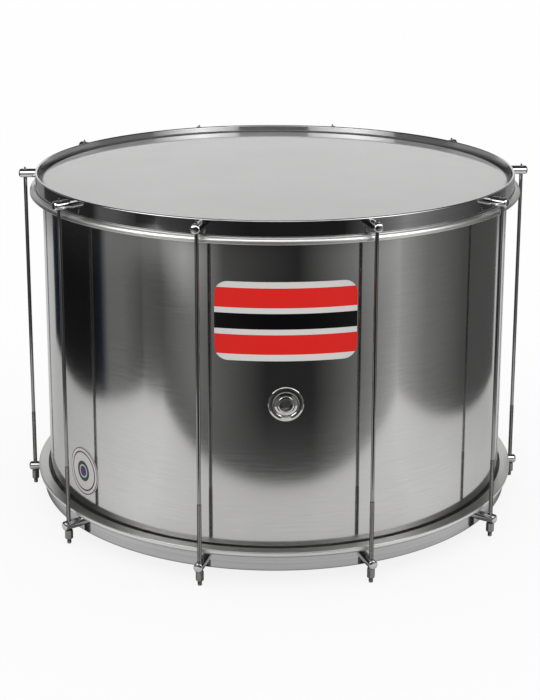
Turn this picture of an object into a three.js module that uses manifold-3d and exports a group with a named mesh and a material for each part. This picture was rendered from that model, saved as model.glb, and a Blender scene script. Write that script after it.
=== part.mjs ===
// Surdo: a wide, shallow metal bass drum. Two plastic heads are drawn over a metal shell by two
// counter hoops, which long tension rods and nuts pull together.
// Millimetres, +Z up. The origin is on the floor below the drum's centre: the drum stands on its rod ends.
// Angles are measured round +Z from -Y, the front of the drum, where the vent is.

import * as THREE from 'three';
import { mergeVertices } from 'three/addons/utils/BufferGeometryUtils.js';
import Module from 'manifold-3d';

const wasm = await Module();
wasm.setup();

// Gap between pieces that rest on or in each other
const seatGap = 0.3;

// Shell, with its two bearing edges rolled inwards
const shellDiameter = 556;
const shellHeight = 370.2;
const shellWall = 1.5;
const edgeRollRadius = 3;
const edgeLipWidth = 3.5;

// Heads: a film over each bearing edge, with an edge bead that sits in the flesh hoop
const filmThickness = 0.6;
const filmSideGap = 0.4;

// Flesh hoops: channels that are open towards the counter hoop
const fleshGap = 2;
const fleshWidth = 12.7;
const fleshHeight = 6.7;
const fleshWall = 1.6;
const fleshCorner = 1.2;

// Counter hoops: flat bands with a rounded rim
const hoopClearance = 0.6;
const hoopThickness = 3;
const hoopHeight = 17.3;
const rimRadius = 1.4;
const headRecess = 8.3;

// Lugs: round bars that stand out from the counter hoops, each on a spigot through the band
const lugDiameter = 10.6;
const lugToRim = 7.2;
const lugNose = 7.5;
const lugDomeLength = 2.4;
const lugDomeDrop = 2.6;
const spigotRadius = 2.6;
const counterboreRadius = 3.2;
const counterboreDepth = 2.3;

// Tension rods, with a head in the upper lug and a thread through the lower one
const rodCount = 10;
const rodClearance = 4.5;
const shankRadius = 2.1;
const threadRadius = 2.4;
const threadLength = 94.5;
const threadChamfer = 0.6;
const rodTail = 5.8;
const rodHeadRadius = 2.8;
const rodHeadHeight = 1.7;
const rodPipRadius = 1.1;
const rodPipHeight = 2.7;

// Long hexagonal nuts under the lower lugs
const nutSides = 6;
const nutLength = 11;
const nutAcrossFlats = 8;
const nutChamfer = 1;

// Vent eyelet in the front of the shell, with its back ring
const ventDrop = 7.1;
const ventHoleRadius = 5.65;
const ventTubeWall = 1.15;
const ventFlangeRadius = 19;
const ventEdgeHeight = 1.1;
const ventCrestHeight = 2.3;
const ventCrestOuterRadius = 17.4;
const ventCrestInnerRadius = 14.4;
const ventDishOuterRadius = 12.6;
const ventDishInnerRadius = 9.6;
const ventDishHeight = 1.2;
const ventCollarRadius = 8.5;
const ventCollarHeight = 2.7;
const ventLipRadius = 6.5;
const ventLipDrop = 0.7;
const ventFlareRadius = 9;
const ventFlareThickness = 0.8;
const backRingRadius = 14;
const backRingThickness = 1.2;

// Plain badge and round seal, both thin curved labels on the shell
const labelThickness = 0.5;
const badgeWidth = 150;
const badgeHeight = 86;
const badgeCorner = 14;
const badgeToHoop = 43;
const sealDiameter = 57;
const sealToHoop = 14.7;
const sealPlace = -1.5;

// How finely round shapes are cut
const ringSegments = 40;
const lugSegments = 12;
const rodSegments = 8;
const holeSegments = 12;
const ventSegments = 20;
const labelSegments = 24;
const rollSteps = 2;
const cornerSteps = 4;
const overrun = 1;

// Radii, worked out from the shell outwards
const shellRadius = shellDiameter / 2;
const skirtInnerRadius = shellRadius + filmSideGap;
const skirtOuterRadius = skirtInnerRadius + filmThickness;
const fleshInnerRadius = shellRadius + fleshGap;
const fleshOuterRadius = fleshInnerRadius + fleshWidth;
const beadInnerRadius = fleshInnerRadius + fleshWall + seatGap;
const beadOuterRadius = fleshOuterRadius - fleshWall - seatGap;
const collarRadius = beadInnerRadius + filmThickness;
const hoopInnerRadius = collarRadius + hoopClearance;
const hoopOuterRadius = hoopInnerRadius + hoopThickness;
const rodCircleRadius = fleshOuterRadius + rodClearance + threadRadius;
const lugRadius = lugDiameter / 2;

// A ring cut into flat faces lies nearer to the axis in the middle of each face
const facetRatio = Math.cos(Math.PI / ringSegments);
const hoopFace = hoopOuterRadius * facetRatio;
const hoopBack = hoopInnerRadius * facetRatio;
const shellBack = (shellRadius - shellWall) * facetRatio;

// Heights, measured from the drum's middle towards either end
const shellEnd = shellHeight / 2;
const headPlane = shellEnd + seatGap + filmThickness;
const rimEnd = headPlane + headRecess;
const hoopStart = rimEnd - hoopHeight;
const fleshEnd = hoopStart - seatGap;
const fleshStart = fleshEnd - fleshHeight;
const lugLevel = rimEnd - lugToRim;
const nutStart = lugLevel + lugRadius + seatGap;
const nutEnd = nutStart + nutLength;
const middle = nutEnd + rodTail;

// The badge hangs below the upper flesh hoop and the seal stands above the lower one
const badgeRise = fleshStart - badgeToHoop - badgeHeight / 2;
const sealDrop = fleshStart - sealToHoop - sealDiameter / 2;

// Which way each end of the drum faces
const top = 1;
const bottom = -1;

// Merges shared points, drops flat triangles at the poles and turns the faces outwards.
function closedBody(geometry) {
  geometry.deleteAttribute('normal');
  geometry.deleteAttribute('uv');
  const merged = mergeVertices(geometry);
  const place = merged.attributes.position;
  const corners = [];
  let volume = 0;
  const a = new THREE.Vector3();
  const b = new THREE.Vector3();
  const c = new THREE.Vector3();
  for (let i = 0; i < merged.index.count; i += 3) {
    const [ia, ib, ic] = [0, 1, 2].map((k) => merged.index.getX(i + k));
    if (ia === ib || ib === ic || ic === ia) continue;
    a.fromBufferAttribute(place, ia);
    b.fromBufferAttribute(place, ib);
    c.fromBufferAttribute(place, ic);
    volume += a.dot(b.cross(c));
    corners.push([ia, ib, ic]);
  }
  const outward = volume > 0 ? corners : corners.map(([ia, ib, ic]) => [ia, ic, ib]);
  merged.setIndex(outward.flat());
  return merged;
}

// A closed geometry as a solid that can be cut and joined.
function toSolid(geometry) {
  const body = closedBody(geometry);
  return new wasm.Manifold(new wasm.Mesh({
    numProp: 3,
    vertProperties: new Float32Array(body.attributes.position.array),
    triVerts: new Uint32Array(body.index.array),
  }));
}

// A cut or joined solid back as a geometry.
function toGeometry(solid) {
  const mesh = solid.getMesh();
  const geometry = new THREE.BufferGeometry();
  geometry.setAttribute('position', new THREE.BufferAttribute(mesh.vertProperties, 3));
  geometry.setIndex(new THREE.BufferAttribute(mesh.triVerts, 1));
  return geometry;
}

// Turns an outline of [radius, height] points round +Z. Flat faces are centred on the front.
function turned(outline, segments) {
  const points = outline.map(([radius, height]) => new THREE.Vector2(radius, height));
  const lathe = new THREE.LatheGeometry(points, segments, -Math.PI / segments, 2 * Math.PI);
  return closedBody(lathe.rotateX(Math.PI / 2));
}

// A closed ring: its outline ends where it starts.
function ring(outline, segments = ringSegments) {
  return turned([...outline, outline[0]], segments);
}

// An outline of [radius, distance from the middle] points at one end of the drum.
function atEnd(outline, end) {
  return outline.map(([radius, distance]) => [radius, middle + end * distance]);
}

// A bar along -Y from one distance to another, for holes and for the lugs' own outline.
function radialBar(outline, segments) {
  return turned(outline, segments).rotateX(Math.PI / 2);
}

function radialPin(radius, from, to, segments) {
  return radialBar([[0, from], [radius, from], [radius, to], [0, to]], segments);
}

// An upright pin between two heights.
function uprightPin(radius, from, to, segments) {
  return turned([[0, from], [radius, from], [radius, to], [0, to]], segments);
}

// Points on a quarter circle or ellipse, from pointing outwards to pointing along the end.
function quarterArc(centreRadius, centreDistance, radiusAcross, radiusAlong) {
  return Array.from({ length: rollSteps + 1 }, (unused, step) => {
    const angle = (step / rollSteps) * (Math.PI / 2);
    return [
      centreRadius + radiusAcross * Math.cos(angle),
      centreDistance + radiusAlong * Math.sin(angle),
    ];
  });
}

function finish(color, roughness, metalness) {
  return new THREE.MeshStandardMaterial({ color, roughness, metalness });
}

const drum = new THREE.Group();

function addPiece(name, geometry, material, angle = 0, radius = 0, height = 0) {
  const mesh = new THREE.Mesh(geometry, material);
  mesh.name = name;
  mesh.rotation.z = angle;
  mesh.position.set(radius * Math.sin(angle), -radius * Math.cos(angle), height);
  drum.add(mesh);
}

// The rods stand evenly round the drum, with the front midway between two of them.
function rodAngle(place) {
  return ((place + 1 / 2) / rodCount) * 2 * Math.PI;
}

function rodPlaces() {
  return Array.from({ length: rodCount }, (unused, place) => place);
}

// Shell: a rolled tube whose ends turn inwards over a small radius and end in a flat lip.
function shellEndOutline() {
  const rollRadius = shellRadius - edgeRollRadius;
  const rollStart = shellEnd - edgeRollRadius;
  const innerRoll = edgeRollRadius - shellWall;
  const lipRadius = rollRadius - edgeLipWidth;
  return [
    ...quarterArc(rollRadius, rollStart, edgeRollRadius, edgeRollRadius),
    [lipRadius, shellEnd],
    [lipRadius, shellEnd - shellWall],
    ...quarterArc(rollRadius, rollStart, innerRoll, innerRoll).reverse(),
  ];
}

const ventLevel = middle - ventDrop;
const ventTubeRadius = ventHoleRadius + ventTubeWall;

function shellGeometry() {
  const upper = atEnd(shellEndOutline(), top);
  const lower = atEnd(shellEndOutline(), bottom).reverse();
  const tube = toSolid(ring([...upper, ...lower]));
  const hole = radialPin(ventTubeRadius + seatGap, shellBack - overrun, shellRadius + overrun, ventSegments);
  return toGeometry(tube.subtract(toSolid(hole.translate(0, 0, ventLevel))));
}

addPiece('shell', shellGeometry(), finish(0xb4b6ba, 0.25, 1));

// Vent eyelet: a dished flange outside, a tube through the wall and a flare that holds the back ring.
const ventSeat = shellRadius * facetRatio + seatGap;
const backRingFront = shellBack - seatGap;
const backRingBack = backRingFront - backRingThickness;
const flareFront = backRingBack - seatGap;

function ventEyeletGeometry() {
  const raised = [
    [ventFlangeRadius, 0],
    [ventFlangeRadius, ventEdgeHeight],
    [ventCrestOuterRadius, ventCrestHeight],
    [ventCrestInnerRadius, ventCrestHeight],
    [ventDishOuterRadius, ventDishHeight],
    [ventDishInnerRadius, ventDishHeight],
    [ventCollarRadius, ventCollarHeight],
    [ventLipRadius, ventCollarHeight],
    [ventHoleRadius, ventCollarHeight - ventLipDrop],
  ].map(([radius, height]) => [radius, ventSeat + height]);
  const inside = [
    [ventHoleRadius, flareFront - ventFlareThickness],
    [ventFlareRadius, flareFront - ventFlareThickness],
    [ventFlareRadius, flareFront],
    [ventTubeRadius, flareFront],
    [ventTubeRadius, ventSeat],
  ];
  const outline = [...raised, ...inside];
  return radialBar([...outline, outline[0]], ventSegments);
}

function backRingGeometry() {
  const bore = ventTubeRadius + seatGap;
  const outline = [
    [bore, backRingFront],
    [backRingRadius, backRingFront],
    [backRingRadius, backRingBack],
    [bore, backRingBack],
  ];
  return radialBar([...outline, outline[0]], ventSegments);
}

addPiece('vent_eyelet', ventEyeletGeometry(), finish(0xc9cacc, 0.2, 1), 0, 0, ventLevel);
addPiece('vent_back_ring', backRingGeometry(), finish(0xb0b2b5, 0.35, 1), 0, 0, ventLevel);

// Labels: a thin curved skin round the shell, trimmed to an outline seen square on.
function labelGeometry(outlineShape, level) {
  const inner = shellRadius + seatGap;
  const outer = inner + labelThickness;
  const low = level - badgeWidth;
  const high = level + badgeWidth;
  const skin = toSolid(ring([[inner, low], [outer, low], [outer, high], [inner, high]]));
  const cutter = new THREE.ExtrudeGeometry(outlineShape, { depth: outer + overrun, bevelEnabled: false });
  const trimmed = skin.intersect(toSolid(cutter.rotateX(Math.PI / 2).translate(0, 0, level)));
  return toGeometry(trimmed);
}

function roundedOutline(width, height, corner) {
  const quarter = Math.PI / 2;
  const points = [];
  for (let side = 0; side < 4; side += 1) {
    const across = side === 0 || side === 3 ? 1 : -1;
    const along = side < 2 ? 1 : -1;
    for (let step = 0; step <= cornerSteps; step += 1) {
      const angle = (side + step / cornerSteps) * quarter;
      points.push(new THREE.Vector2(
        across * (width / 2 - corner) + corner * Math.cos(angle),
        along * (height / 2 - corner) + corner * Math.sin(angle),
      ));
    }
  }
  return new THREE.Shape(points);
}

function roundOutline(radius) {
  const points = Array.from({ length: labelSegments }, (unused, step) => {
    const angle = (step / labelSegments) * 2 * Math.PI;
    return new THREE.Vector2(radius * Math.cos(angle), radius * Math.sin(angle));
  });
  return new THREE.Shape(points);
}

const badgeOutline = roundedOutline(badgeWidth, badgeHeight, badgeCorner);
const sealOutline = roundOutline(sealDiameter / 2);
const sealAngle = (sealPlace / rodCount) * 2 * Math.PI;

addPiece('front_badge', labelGeometry(badgeOutline, middle + badgeRise), finish(0xf0eeea, 0.35, 0));
addPiece('round_seal', labelGeometry(sealOutline, middle - sealDrop), finish(0xdedbd2, 0.4, 0), sealAngle);

// Head: a flat film that rolls over the bearing edge, runs down outside the shell, steps out over
// the inner wall of the flesh hoop and ends in a bead inside its channel.
function headOutline() {
  const rollRadius = shellRadius - edgeRollRadius;
  const rollStart = shellEnd - edgeRollRadius;
  const innerAcross = edgeRollRadius + filmSideGap;
  const innerAlong = edgeRollRadius + seatGap;
  const outerRoll = quarterArc(
    rollRadius, rollStart, innerAcross + filmThickness, innerAlong + filmThickness,
  ).reverse();
  const innerRoll = quarterArc(rollRadius, rollStart, innerAcross, innerAlong);
  return [
    [0, headPlane],
    ...outerRoll,
    [skirtOuterRadius, hoopStart + filmThickness],
    [collarRadius, hoopStart + filmThickness],
    [collarRadius, fleshEnd],
    [beadOuterRadius, fleshEnd],
    [beadOuterRadius, fleshStart + fleshWall + seatGap],
    [beadInnerRadius, fleshStart + fleshWall + seatGap],
    [beadInnerRadius, hoopStart],
    [skirtInnerRadius, hoopStart],
    ...innerRoll,
    [0, headPlane - filmThickness],
  ];
}

// Flesh hoop: a channel with its closed side towards the drum's middle.
function fleshOutline() {
  return [
    [fleshInnerRadius, fleshEnd],
    [fleshInnerRadius + fleshWall, fleshEnd],
    [fleshInnerRadius + fleshWall, fleshStart + fleshWall],
    [fleshOuterRadius - fleshWall, fleshStart + fleshWall],
    [fleshOuterRadius - fleshWall, fleshEnd],
    [fleshOuterRadius, fleshEnd],
    [fleshOuterRadius, fleshStart + fleshCorner],
    [fleshOuterRadius - fleshCorner, fleshStart],
    [fleshInnerRadius, fleshStart],
  ];
}

// Counter hoop: a flat band, rounded at its outer rim, with a hole for each lug's spigot.
function hoopOutline() {
  const crown = hoopThickness / 2;
  const rimStart = rimEnd - rimRadius;
  const shoulder = rimRadius / 2;
  return [
    [hoopInnerRadius, hoopStart],
    [hoopOuterRadius, hoopStart],
    [hoopOuterRadius, rimStart],
    [hoopOuterRadius - shoulder, rimEnd - shoulder / 2],
    [hoopInnerRadius + crown, rimEnd],
    [hoopInnerRadius + shoulder, rimEnd - shoulder / 2],
    [hoopInnerRadius, rimStart],
  ];
}

function hoopGeometry(end) {
  const level = middle + end * lugLevel;
  const pin = radialPin(spigotRadius + seatGap, hoopBack - overrun, hoopFace + overrun, lugSegments);
  let band = toSolid(ring(atEnd(hoopOutline(), end)));
  for (const place of rodPlaces()) {
    const hole = pin.clone().rotateZ(rodAngle(place)).translate(0, 0, level);
    band = band.subtract(toSolid(hole));
  }
  return toGeometry(band);
}

const endNames = new Map([[top, 'top'], [bottom, 'bottom']]);
const filmFinish = finish(0xc4c4c2, 0.45, 0);
const fleshFinish = finish(0xc8c8c6, 0.35, 1);
const hoopFinish = finish(0x9a9b9e, 0.15, 1);

for (const [end, name] of endNames) {
  addPiece(`${name}_head`, turned(atEnd(headOutline(), end), ringSegments), filmFinish);
  addPiece(`${name}_flesh_hoop`, ring(atEnd(fleshOutline(), end)), fleshFinish);
  addPiece(`${name}_counter_hoop`, hoopGeometry(end), hoopFinish);
}

// Lug: a spigot through the band, a round bar outside it and a domed end beyond the rod.
function lugBody() {
  const noseEnd = rodCircleRadius + lugNose;
  const domeStart = noseEnd - lugDomeLength;
  const shoulder = hoopFace + seatGap;
  return radialBar([
    [0, hoopBack + seatGap],
    [spigotRadius, hoopBack + seatGap],
    [spigotRadius, shoulder],
    [lugRadius, shoulder],
    [lugRadius, domeStart],
    [lugRadius - lugDomeDrop / 3, domeStart + lugDomeLength * 2 / 3],
    [lugRadius - lugDomeDrop, noseEnd],
    [0, noseEnd],
  ], lugSegments);
}

function crossHole(radius, from) {
  const reach = lugRadius + overrun;
  return toSolid(uprightPin(radius, from, reach, holeSegments).translate(0, -rodCircleRadius, 0));
}

const throughStart = -lugRadius - overrun;
const counterboreFloor = lugRadius - counterboreDepth;
const lugBlank = toSolid(lugBody());
const topLug = toGeometry(lugBlank
  .subtract(crossHole(shankRadius + seatGap, throughStart))
  .subtract(crossHole(counterboreRadius, counterboreFloor)));
const bottomLug = toGeometry(lugBlank.subtract(crossHole(threadRadius + seatGap, throughStart)));

// Rod: chamfered thread, plain shank, a head that sits in the upper lug's counterbore, and a pip.
function rodGeometry() {
  const headStart = middle + lugLevel + counterboreFloor + seatGap;
  const headEnd = headStart + rodHeadHeight;
  const pipEnd = headEnd + rodPipHeight;
  return turned([
    [0, 0],
    [threadRadius - threadChamfer, 0],
    [threadRadius, threadChamfer],
    [threadRadius, threadLength - threadChamfer],
    [shankRadius, threadLength],
    [shankRadius, headStart],
    [rodHeadRadius, headStart],
    [rodHeadRadius, headEnd],
    [rodPipRadius, headEnd],
    [rodPipRadius, pipEnd],
    [0, pipEnd],
  ], rodSegments);
}

// Nut: a hexagon bar whose corners are turned off at both ends, bored through.
function nutGeometry() {
  const high = middle - nutStart;
  const low = middle - nutEnd;
  const flat = nutAcrossFlats / 2;
  const corner = flat / Math.cos(Math.PI / nutSides);
  const bar = toSolid(uprightPin(corner, low, high, nutSides));
  const trim = toSolid(turned([
    [0, low],
    [flat - nutChamfer / 2, low],
    [corner + nutChamfer / 2, low + nutChamfer],
    [corner + nutChamfer / 2, high - nutChamfer],
    [flat - nutChamfer / 2, high],
    [0, high],
  ], holeSegments));
  const bore = uprightPin(threadRadius + seatGap, low - overrun, high + overrun, holeSegments);
  return toGeometry(bar.intersect(trim).subtract(toSolid(bore)));
}

const rod = rodGeometry();
const nut = nutGeometry();
const lugFinish = finish(0xd6d8da, 0.08, 1);
const rodFinish = finish(0x8c8d90, 0.2, 1);
const nutFinish = finish(0x8f9092, 0.4, 1);

for (const place of rodPlaces()) {
  const angle = rodAngle(place);
  const number = String(place + 1).padStart(2, '0');
  addPiece(`top_lug_${number}`, topLug, lugFinish, angle, 0, middle + lugLevel);
  addPiece(`bottom_lug_${number}`, bottomLug, lugFinish, angle, 0, middle - lugLevel);
  addPiece(`tension_rod_${number}`, rod, rodFinish, angle, rodCircleRadius);
  addPiece(`rod_nut_${number}`, nut, nutFinish, angle, rodCircleRadius);
}

export default drum;
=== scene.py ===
# %% [markdown]
# # A surdo in polished metal
# This lesson dresses a wide, shallow bass drum. A mirror-bright metal tube has a milky head at
# each end. Two chromed counter hoops are pulled together by ten long rods outside the shell.
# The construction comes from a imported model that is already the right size. Each piece of it
# is made again here as a fine surface, in the same place and in metres.

import bpy
import numpy as np
from mathutils import Matrix, Vector


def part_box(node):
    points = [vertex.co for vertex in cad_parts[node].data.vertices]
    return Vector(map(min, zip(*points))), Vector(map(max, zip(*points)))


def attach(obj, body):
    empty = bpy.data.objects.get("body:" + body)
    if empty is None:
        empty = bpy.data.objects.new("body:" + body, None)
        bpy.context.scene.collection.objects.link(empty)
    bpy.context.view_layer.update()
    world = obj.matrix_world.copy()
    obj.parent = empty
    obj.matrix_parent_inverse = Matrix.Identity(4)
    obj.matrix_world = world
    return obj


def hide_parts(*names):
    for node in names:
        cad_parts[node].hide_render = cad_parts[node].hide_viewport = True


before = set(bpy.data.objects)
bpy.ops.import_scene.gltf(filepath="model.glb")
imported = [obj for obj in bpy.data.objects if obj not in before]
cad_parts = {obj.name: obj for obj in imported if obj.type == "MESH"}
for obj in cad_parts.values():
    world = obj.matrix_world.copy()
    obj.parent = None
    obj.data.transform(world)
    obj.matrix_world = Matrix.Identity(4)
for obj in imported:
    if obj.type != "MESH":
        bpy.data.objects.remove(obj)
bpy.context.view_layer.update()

# %% [markdown]
# ## Sizes
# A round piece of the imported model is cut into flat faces, and these lie a little nearer to the
# axis than the true round. Its box could be measured by hand, but dividing by the cosine of half
# a face's angle gives the true radius at once, and every other size here is worked out from it.

# %% Read the driving sizes from the frame
MM = 0.001
FULL_TURN = 2 * np.pi
RING_FACES = 40
FACET = np.cos(np.pi / RING_FACES)


def true_radius(node):
    """Half the node's width divided by the cosine of half a face's angle."""
    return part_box(node)[1].x / FACET


shell_low, shell_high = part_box("shell")
MIDDLE = (shell_low.z + shell_high.z) / 2
SHELL_RADIUS = true_radius("shell")
SHELL_END = shell_high.z - MIDDLE
HOOP_OUTER = true_radius("top_counter_hoop")
HOOP_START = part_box("top_counter_hoop")[0].z - MIDDLE
RIM_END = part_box("top_counter_hoop")[1].z - MIDDLE
FLESH_OUTER = true_radius("top_flesh_hoop")
FLESH_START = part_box("top_flesh_hoop")[0].z - MIDDLE
FLESH_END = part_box("top_flesh_hoop")[1].z - MIDDLE
HEAD_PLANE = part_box("top_head")[1].z - MIDDLE
rod_low, rod_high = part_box("tension_rod_03")
ROD_CIRCLE = (rod_low.x + rod_high.x) / 2
ROD_COUNT = 10
TOP, BOTTOM = 1, -1
ENDS = ((TOP, "top", "top_hoop_and_rods"), (BOTTOM, "bottom", "bottom_hoop"))
print("shell radius in mm:", round(SHELL_RADIUS / MM, 2), "middle:", round(MIDDLE / MM, 2))

# %% [markdown]
# ## Camera
# The photographer stood in front and a little above, with the drum low in the frame. A camera
# can be aimed at the drum's middle, but then upright rods lean differently. Here it stands 17
# degrees up and looks down by 13 only, and a vertical shift brings the drum into the frame.

# %% Place the camera
CAMERA_DISTANCE = 1.8651
CAMERA_RISE = np.radians(17.2634)
CAMERA_PITCH = np.radians(13.0)
CAMERA_ROLL = np.radians(0.1365)
CAMERA_ROUND = np.radians(-2.5262)
LENS_SHARE = 1506.3121 / 700
SHIFT_X = -0.00687
SHIFT_Y = -0.2036

camera_data = bpy.data.cameras.new("camera")
camera = bpy.data.objects.new("camera", camera_data)
bpy.context.scene.collection.objects.link(camera)
camera_data.sensor_width = 36
camera_data.lens = camera_data.sensor_width * LENS_SHARE
camera_data.shift_x = SHIFT_X
camera_data.shift_y = SHIFT_Y
camera_data.clip_start = 0.05
camera_data.clip_end = 100

round_turn = Matrix.Rotation(CAMERA_ROUND, 4, "Z")
lean = Matrix.Rotation(np.pi / 2 - CAMERA_PITCH, 4, "X")
roll = Matrix.Rotation(CAMERA_ROLL, 4, "Z")
stand = Vector((0, -np.cos(CAMERA_RISE), np.sin(CAMERA_RISE))) * CAMERA_DISTANCE
camera.matrix_world = round_turn @ Matrix.Translation(stand + Vector((0, 0, MIDDLE))) @ lean @ roll
bpy.context.scene.camera = camera
print("camera at", [round(v, 3) for v in camera.matrix_world.translation])

# %% [markdown]
# ## Meshes from arrays
# Every piece is a grid of points worked out with numpy. Blender's own lathe could turn a
# profile too, but a grid lets a radius change round the piece, as in a thread or a hexagon.
# Smooth shading takes each corner's normal from the faces round it. Weighing them by area keeps
# wide flats flat and lets the small rounded edges take the whole bend.

# %% Put points and faces into a mesh


def even_angles(columns):
    """Angles at even steps round one turn."""
    return np.arange(columns) / columns * FULL_TURN


def corner_sums(points, faces):
    """Normal of each point: the sum of its faces' normals, each as long as twice its area."""
    sums = np.zeros_like(points)
    for block in faces:
        first = points[block[:, 0]]
        area = np.zeros_like(first)
        for k in range(1, block.shape[1] - 1):
            area += np.cross(points[block[:, k]] - first, points[block[:, k + 1]] - first)
        for k in range(block.shape[1]):
            np.add.at(sums, block[:, k], area)
    return sums


def signed_volume(points, faces):
    """Six times the volume: each face's first corner dotted with the cross of the others."""
    total = 0.0
    for block in faces:
        for k in range(1, block.shape[1] - 1):
            a, b, c = points[block[:, 0]], points[block[:, k]], points[block[:, k + 1]]
            total += np.einsum("ij,ij->", a, np.cross(b, c))
    return total


def make_mesh(name, points, faces, corner_maps=None):
    """A closed body from points and blocks of faces, turned so that its faces point outwards."""
    if signed_volume(points, faces) < 0:
        faces = [block[:, ::-1] for block in faces]
        corner_maps = corner_maps and [block[:, ::-1] for block in corner_maps]
    sizes = np.concatenate([np.full(len(block), block.shape[1]) for block in faces])
    corners = np.concatenate([block.ravel() for block in faces])
    mesh = bpy.data.meshes.new(name)
    mesh.vertices.add(len(points))
    mesh.vertices.foreach_set("co", points.astype(np.float32).ravel())
    mesh.loops.add(len(corners))
    mesh.loops.foreach_set("vertex_index", corners.astype(np.int32))
    mesh.polygons.add(len(sizes))
    mesh.polygons.foreach_set("loop_start", (np.cumsum(sizes) - sizes).astype(np.int32))
    mesh.update(calc_edges=True)
    if corner_maps:
        layer = mesh.uv_layers.new(name="around")
        flat = np.concatenate([block.reshape(-1, 2) for block in corner_maps])
        layer.uv.foreach_set("vector", flat.astype(np.float32).ravel())
    mesh.shade_smooth()
    sums = corner_sums(points, faces)
    normals = sums / np.maximum(np.linalg.norm(sums, axis=1, keepdims=True), 1e-20)
    mesh.normals_split_custom_set_from_vertices(normals.tolist())
    piece = bpy.data.objects.new(name, mesh)
    bpy.context.scene.collection.objects.link(piece)
    return piece


# %% Join the rows of a grid


def row_quads(rows, columns, closed):
    """Quads between neighbouring rows whose columns go round; closed joins last row to first."""
    upto = rows if closed else rows - 1
    i, j = np.meshgrid(np.arange(upto), np.arange(columns), indexing="ij")
    here, after, beside = i * columns, (i + 1) % rows * columns, (j + 1) % columns
    return np.stack([here + j, here + beside, after + beside, after + j], -1).reshape(-1, 4)


def pole_fans(rows, columns, low):
    """Triangles from the pole numbered low to the first row, and from the next pole to the last."""
    j = np.arange(columns)
    beside = (j + 1) % columns
    last = (rows - 1) * columns
    return [
        np.stack([np.full(columns, low), beside, j], -1),
        np.stack([np.full(columns, low + 1), last + j, last + beside], -1),
    ]


def row_maps(along, columns, closed):
    """Map corners of those quads: u is the share of a turn, v the length along the profile."""
    ends = np.append(along, along[-1]) if closed else along
    i, j = np.meshgrid(np.arange(len(ends) - 1), np.arange(columns), indexing="ij")
    u = np.stack([j, j + 1, j + 1, j], -1) / columns
    v = np.stack([ends[i], ends[i], ends[i + 1], ends[i + 1]], -1)
    return np.stack([u, v], -1).reshape(-1, 4, 2)


def woven(name, grid, closed=False):
    """A body from a grid of rows by columns. An open grid is closed by a fan onto each pole."""
    rows, columns = grid.shape[:2]
    points = grid.reshape(-1, 3)
    steps = np.linalg.norm(np.diff(grid[:, 0], axis=0), axis=1)
    along = np.append(0, np.cumsum(steps))
    faces = [row_quads(rows, columns, closed)]
    maps = [row_maps(along, columns, closed)]
    if not closed:
        faces += pole_fans(rows, columns, len(points))
        points = np.concatenate([points, [grid[0].mean(axis=0), grid[-1].mean(axis=0)]])
        j = np.arange(columns)
        for order, length in (([j + 0.5, j + 1, j], along[0]), ([j + 0.5, j, j + 1], along[-1])):
            u = np.stack(order, -1) / columns
            maps.append(np.stack([u, np.full_like(u, length)], -1))
    return make_mesh(name, points, faces, maps)


# %% [markdown]
# ## Profiles
# Real metal has no perfectly sharp edge: each one is broken or rolled, and that tiny radius is
# what catches the light. A bevel modifier could round the finished mesh. Rounding the outline
# before it is turned is exact and keeps the faces in clean rings.

# %% Round the corners of an outline


def rounded(outline, radii, steps=6):
    """Each corner becomes an arc that touches both of its sides: its centre lies on the corner's
    bisector, and its points turn at an even rate from one side's normal to the other's."""
    corner = np.asarray(outline, float)
    radius = np.asarray(radii, float)[:, None]
    back = np.roll(corner, 1, axis=0) - corner
    ahead = np.roll(corner, -1, axis=0) - corner
    back /= np.linalg.norm(back, axis=1, keepdims=True)
    ahead /= np.linalg.norm(ahead, axis=1, keepdims=True)
    half = np.arccos(np.clip((back * ahead).sum(1, keepdims=True), -1, 1)) / 2
    reach = radius / np.maximum(np.tan(half), 1e-9)
    bisector = back + ahead
    bisector /= np.maximum(np.linalg.norm(bisector, axis=1, keepdims=True), 1e-12)
    centre = corner + bisector * radius / np.maximum(np.sin(half), 1e-9)
    start = (corner + back * reach - centre)[:, None]
    end = (corner + ahead * reach - centre)[:, None]
    turn = (np.pi - 2 * half)[:, None]
    t = np.linspace(0, 1, steps + 1)[None, :, None]
    size = np.maximum(np.sin(turn), 1e-9)
    arc = (np.sin((1 - t) * turn) * start + np.sin(t * turn) * end) / size
    points = centre[:, None] + arc
    points = np.where(radius[:, None] > 0, points, corner[:, None])
    points = points.reshape(-1, 2)
    apart = np.linalg.norm(points - np.roll(points, 1, axis=0), axis=1) > 1e-7
    return points[apart]


def turned_grid(profile, columns, start=0.0):
    """Each profile point (radius, height) goes round the axis: x = r sin a and y = -r cos a."""
    angle = start + even_angles(columns)
    r, z = profile[:, :1], profile[:, 1:]
    return np.stack([r * np.sin(angle), -r * np.cos(angle), z + 0 * angle], -1)


def at_end(profile, end):
    """A profile of (radius, distance from the middle) points at one end of the drum."""
    return np.stack([profile[:, 0], MIDDLE + end * profile[:, 1]], -1)


def radial_grid(profile, columns, level):
    """Each profile point (radius, distance out) goes round an axis along -Y at a height."""
    angle = even_angles(columns)
    r, out = profile[:, :1], profile[:, 1:]
    return np.stack([r * np.sin(angle), -out + 0 * angle, level + r * np.cos(angle)], -1)


def turned_to(points, angle):
    """Points turned round Z by an angle."""
    c, s = np.cos(angle), np.sin(angle)
    return points @ np.array([[c, s, 0], [-s, c, 0], [0, 0, 1]])


# %% [markdown]
# ## Holes in a sheet
# The shell is pierced for its vent and each lug for its rod. A boolean would cut them, and leave
# long thin triangles that show in polished metal. Here a window is left out of the grid, and
# rings of quads run from the window's edge to the round hole, so the mirror stays undisturbed.

# %% Rings between a window and a hole


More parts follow.
